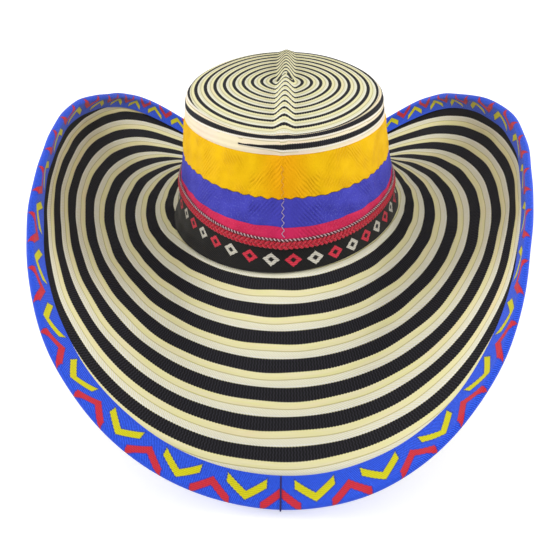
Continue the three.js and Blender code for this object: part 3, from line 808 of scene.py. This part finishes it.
FINE_STEPS = 3600
FINE = np.linspace(-math.pi, math.pi, FINE_STEPS + 1)[:-1]
fine_cord = np.interp(FINE, TURN, cord_middle)
fine_trim = np.interp(FINE, TURN, trim_top - TRIM_WIDTH / 2)
CORD_TWIST = 2.3                  # length of one twist of the two-colour cord
PLAIT_LENGTH = 9.0                # and of one repeat of the three-strand plait
twists = round(CROWN_LENGTH / CORD_TWIST)
for name, material, phase in (("pale", pale_cord, 0.0), ("dark", dark_cord, math.pi)):
    angle = twists * FINE + phase
    strand = wall_strand(fine_cord + 0.38 * np.sin(angle), -0.7 - 0.38 * np.cos(angle), 0.5, 6)
    make_piece(f"twisted_cord.{name}", *strand, material, "cord_thread", "twisted_cord")

plaits = round(CROWN_LENGTH / PLAIT_LENGTH)
strands = []
for k in range(3):
    angle = plaits * FINE + TAU * k / 3
    strands.append(wall_strand(fine_trim + 1.75 * np.sin(angle), -0.15 + 0.75 * np.sin(2 * angle), 1.05, 8))
make_piece("red_plaited_trim.plait", *joined(strands), red_yarn, "red_yarn", "red_plaited_trim")

STITCH_RISE = 2.4                 # of each slanting stitch of the front seam's zigzag
STITCH_HALF = 0.8
stitch_foot, thread_change = float(fine_cord.min()) + 2, float(yellow_low[WALL_STEPS // 2])
for name, material, low, high in (("lilac", seam_thread, stitch_foot, thread_change),
                                  ("gold", gold_thread, thread_change, YELLOW_TOP - 1.0)):
    heights = np.arange(low, high, STITCH_RISE)
    sideways = np.where(np.arange(len(heights)) % 2, STITCH_HALF, -STITCH_HALF)
    steps = np.linspace(0, len(heights) - 1, 6 * len(heights))
    z = np.interp(steps, np.arange(len(heights)), heights)
    x = np.interp(steps, np.arange(len(heights)), sideways)
    path = wall_points(x / CROWN_HALF[0], z, -0.3)
    make_piece(f"front_seam_stitching.{name}", *tube(path, 0.26, 6, False, up=(0, -1, 0)), material,
               "seam_thread", "front_seam_stitching")


# ------------------------------------------------------------- crown shoulder and tip
SPIRAL_BACK = 8.0                 # the spiral starts behind the middle of the tip
BACK_LIFT = 6.5                   # the back of the rim stands higher
TIP_MEET = 0.93                   # share of the tip's half size where shoulder and tip meet


def tip_points(turn, share, lift):
    """Points on the tip at a share of its half size, with the ridge and a height added."""
    phi = azimuth(turn)
    r = oval(phi, TIP_HALF) * share
    x, y = r * np.cos(phi) - TIP_ASIDE, r * np.sin(phi) + SPIRAL_BACK * (1 - share ** 2)
    dome = TIP_DOME * (1 - share ** 2) - TIP_EDGE_DROP * share ** 8
    lift = lift + BACK_LIFT * share ** 2 * (1 + np.sin(phi)) / 2
    across = np.clip(1 - np.abs(x) / RIDGE_HALF_WIDTH, 0, 1)
    ridge = RIDGE_HEIGHT * across ** 2 * (3 - 2 * across) * (1 - share ** 4)
    return np.stack([x, y - TIP_FORWARD, CROWN_HEIGHT + dome + ridge + lift], -1)


SHOULDER_RISE = 7.2               # the straight part's top, over the yellow band's top
LINE_HEIGHT = 12.2                # of the upper dark line, along the section at the front
CREAM_PHASE = 4.6                 # a place across the bleached braid that shows only cream
LINE_END, LINE_TAPER = -4, 24     # degrees round where the lower dark line starts to thin, and how long
shoulder_turn = np.linspace(-math.pi, math.pi, WALL_STEPS + 1)[:-1]
low = yellow_top + SEAT
straight = low[:, None] + (YELLOW_TOP + SHOULDER_RISE - low)[:, None] * np.linspace(0, 1, 9)
side = wall_points(shoulder_turn[:, None], straight, SEAT)
bend = np.linspace(0, math.pi / 2, 11)[1:][None, :, None]
base = side[:, -1:]
end = tip_points(shoulder_turn[:, None], np.full((1, 1), TIP_MEET), 0.0)
inward = end - base
over = base + inward * np.array([1, 1, 0]) * (1 - np.cos(bend)) + inward * np.array([0, 0, 1]) * np.sin(bend)
face = np.concatenate([side, over], 1)
section = np.stack([lengths(line) for line in face])
laps_round = np.append(shoulder_turn, math.pi)[:, None] / TAU
raw = (section - LINE_HEIGHT) / SHOULDER_PITCH
spiral = np.sin(TAU * (raw + shoulder_turn[:, None] / TAU) * 2)
centre = face.mean(axis=(0, 1)) * [1, 1, 0]
out = face - centre
out /= np.linalg.norm(out, axis=2)[..., None]
back = face * [0.985, 0.985, 1] - [0, 0, 0.9]
rings = np.concatenate([face + 0.22 * spiral[..., None] * out, back[:, ::-1]], 1)
lap = np.vstack([raw, raw[:1]]) + laps_round    # the dark line lies on whole laps
ending = np.clip((laps_round * 360 - LINE_END) / LINE_TAPER, 0, 1)
lower = np.abs(lap + 1) < 0.5
plain = (lap < -1.5) | (lower & (ending >= 1))
lap = np.where(lower, -1 + np.clip((lap + 1) * (1 + 4 * ending ** 2), -0.625, 0.375), lap)
SET_ASIDE = 1000                  # marks the points past the end of the line
v = SHOULDER_PITCH * lap + SHOULDER_BLACK / 2 + SET_ASIDE * plain
along = np.append(FROM_FRONT[:-1], CROWN_LENGTH / 2)
points, faces, uv = loft(rings, np.repeat(along[:, None], 2 * section.shape[1] + 1, 1), doubled(v), True)
uv[(uv[..., 1] > SET_ASIDE / 2).any(1), :, 1] = CREAM_PHASE
make_piece("crown_shoulder_braid.plaited", points, faces, uv, shoulder_palm, "palm_braid",
           "crown_shoulder_braid")

TIP_TURNS = 10
TIP_STEPS, SPOKES = 90, 300
TIP_OVERLAP = 0.004               # share of the half size that the tip runs over the shoulder
TIP_MEAN_RADIUS = 80.0
tip_turn = np.linspace(-math.pi, math.pi, SPOKES + 1)[:-1]
share = np.linspace(TIP_OVERLAP, TIP_MEET + TIP_OVERLAP, TIP_STEPS + 1)
wound = tip_turn[:, None] / TAU
lap = share[None] / TIP_MEET * TIP_TURNS - wound
relief = 0.3 * np.abs(np.sin(math.pi * lap * 2)) * np.minimum(1, share[None] * 8)
top = tip_points(tip_turn[:, None], share[None] + 0 * wound, relief)
under = tip_points(tip_turn[:, None], share[None] * 0.995 + 0 * wound, -1.4)
rings = np.concatenate([top, under[:, ::-1]], 1)
closing = np.append(tip_turn, math.pi)[:, None]
arc = closing * share[None] * TIP_MEAN_RADIUS
u = np.hstack([arc, arc[:, ::-1], closing * 0])
v = TIP_PITCH * (share[None] / TIP_MEET * TIP_TURNS - closing / TAU)
tucked = (np.abs(np.sin(closing)) > 0.65) & (share[None] > 0.028) & (share[None] < 0.08)
DARK_PHASE = 1.3                  # a place across the narrow braid inside its dark half
v = np.where(tucked, DARK_PHASE, v)      # the dark half shows on both sides of the pinched middle
points, faces, uv = loft(rings, u, doubled(v), True)
make_piece("crown_tip_braid.plaited", points, faces, uv, tip_palm, "palm_braid", "crown_tip_braid")


# ------------------------------------------------------------- inside of the crown
WALL_TOP = 87.0
WALL_FACE, WALL_BACK = 1.5, 3.5   # insets of the straw wall's two faces
SWEATBAND_INSET = 3.8
wall_low = break_height(azimuth(TURN)) - BRAID_THICKNESS / 2
share = np.linspace(0, 1, 25)
z = wall_low[:, None] + (WALL_TOP - wall_low)[:, None] * share
face = wall_points(TURN[:, None], z, WALL_FACE)
back = wall_points(TURN[:, None], z, WALL_BACK)
rings = np.concatenate([face, back[:, ::-1]], 1)
points, faces, uv = loft(rings, np.repeat(FROM_FRONT[:, None], 51, 1), doubled(np.vstack([z, z[:1]])), True)
make_piece("crown_wall.straw", points, faces, uv, straw, "palm_braid", "crown_wall")

low, high = (np.full_like(TURN, h) for h in SWEATBAND)
band("sweatband.twill", low, high, SWEATBAND_INSET, 1.0, 18, lambda u, z, share: 0 * u * z, sweat_cloth,
     "sweatband_cloth", "sweatband")
stitch_path = wall_points(TURN[:, None], np.full((WALL_STEPS, 1), SWEATBAND[1] - 1.2), 5.4)[:, 0]
make_piece("sweatband_stitching.thread", *tube(stitch_path, 0.3, 6, True), sweat_thread, "seam_thread",
           "sweatband_stitching")


# ------------------------------------------------------------- camera
CAMERA_PLACE = (6.6, -468.2, 252.3)
CAMERA_DOWN, CAMERA_SIDEWAYS, CAMERA_ROLL = (math.radians(a) for a in (35.78, -1.458, -0.479))
ahead = Vector((math.sin(CAMERA_SIDEWAYS) * math.cos(CAMERA_DOWN),
                math.cos(CAMERA_SIDEWAYS) * math.cos(CAMERA_DOWN), -math.sin(CAMERA_DOWN)))
right = ahead.cross(Vector((0, 0, 1))).normalized()
upward = right.cross(ahead)
rolled_right = right * math.cos(CAMERA_ROLL) + upward * math.sin(CAMERA_ROLL)
rolled_up = upward * math.cos(CAMERA_ROLL) - right * math.sin(CAMERA_ROLL)
lens = bpy.data.cameras.new("camera")
lens.lens = 40.6
lens.sensor_width = 36
lens.clip_start = 0.01
camera = bpy.data.objects.new("camera", lens)
turned = Matrix((rolled_right, rolled_up, -ahead)).transposed().to_4x4()
camera.matrix_world = Matrix.Translation((Vector(CAMERA_PLACE) + Vector(ORIGIN)) * MM) @ turned
bpy.context.scene.collection.objects.link(camera)
bpy.context.scene.camera = camera

# ------------------------------------------------------------- floor, world and lamps
def whiter_to_the_eye(tree, plain, seen, socket):
    """A strength for the light it casts, and another for how white it looks itself."""
    straight = add(tree, "LightPath").node.outputs["Is Camera Ray"]
    strength = add(tree, "Math", straight, seen - plain, plain, operation="MULTIPLY_ADD")
    tree.links.new(strength, socket)


floor_mesh = bpy.data.meshes.new("floor")
REACH = 40.0                      # metres, so that the floor's edge is out of sight
floor_mesh.from_pydata([(-REACH, -REACH, 0), (REACH, -REACH, 0), (REACH, REACH, 0), (-REACH, REACH, 0)],
                       [], [(0, 1, 2, 3)])
floor = bpy.data.objects.new("floor", floor_mesh)
bpy.context.scene.collection.objects.link(floor)
t = new_tree("white sweep paper")
shader = t.nodes["Principled BSDF"]
shader.inputs["Base Color"].default_value = colour("#F4F4F4")
shader.inputs["Roughness"].default_value = 0.9
shader.inputs["Specular IOR Level"].default_value = 0.1
shader.inputs["Emission Color"].default_value = (1.0, 1.0, 1.0, 1.0)
whiter_to_the_eye(t, 0.0, 0.35, shader.inputs["Emission Strength"])
floor_mesh.materials.append(bpy.data.materials["white sweep paper"])

world = bpy.data.worlds.new("white room")
world.use_nodes = True
sky = world.node_tree.nodes["Background"]
sky.inputs["Color"].default_value = (1.0, 1.0, 1.0, 1.0)
whiter_to_the_eye(world.node_tree, 0.74, 1.0, sky.inputs["Strength"])
bpy.context.scene.world = world


def lamp(name, place, size, power):
    light = bpy.data.lights.new(name, "AREA")
    light.shape, light.size, light.energy = "DISK", size, power
    body = bpy.data.objects.new(name, light)
    body.location = place
    body.rotation_euler = (Vector((0, 0, 0.1)) - Vector(place)).to_track_quat("-Z", "Y").to_euler()
    bpy.context.scene.collection.objects.link(body)


lamp("key lamp", (-0.3, -0.8, 1.6), 0.9, 1.6)
lamp("right side lamp", (1.25, -0.1, 0.55), 0.6, 8.5)
lamp("left side lamp", (-1.25, -0.1, 0.55), 0.6, 9.0)

bpy.context.scene.view_settings.view_transform = "Standard"
